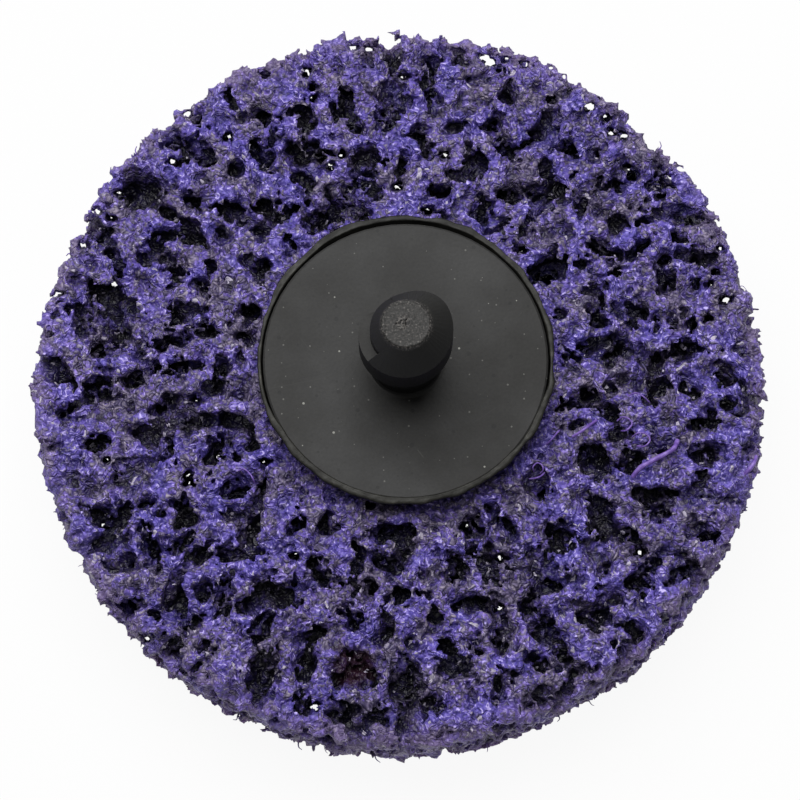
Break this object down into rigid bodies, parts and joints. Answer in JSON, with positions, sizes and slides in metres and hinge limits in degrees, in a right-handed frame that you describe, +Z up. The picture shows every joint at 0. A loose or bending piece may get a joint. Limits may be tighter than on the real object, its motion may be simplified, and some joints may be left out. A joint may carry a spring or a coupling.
{
  "type": "surface conditioning disc",
  "caption": "Round coarse open-web abrasive disc with a bonded plastic drive button and a quick-change threaded stud.",
  "frame": {"origin": "centre of the work face, on the surface the disc lies on", "axes": "+Z up, out of the back, along the stud; +Y is the top of the picture"},
  "size_m": [0.075, 0.076, 0.0288],
  "materials": {
    "web": "coarse open nonwoven web coated with purple resin and mineral grain",
    "button": "satin moulded black plastic with dust and fine scratches",
    "adhesive": "set black adhesive, slightly glossy"
  },
  "bodies": {
    "root": {"abrasive_web": "web", "drive_button": "button", "adhesive_bond": "adhesive"}
  },
  "joints": []
}
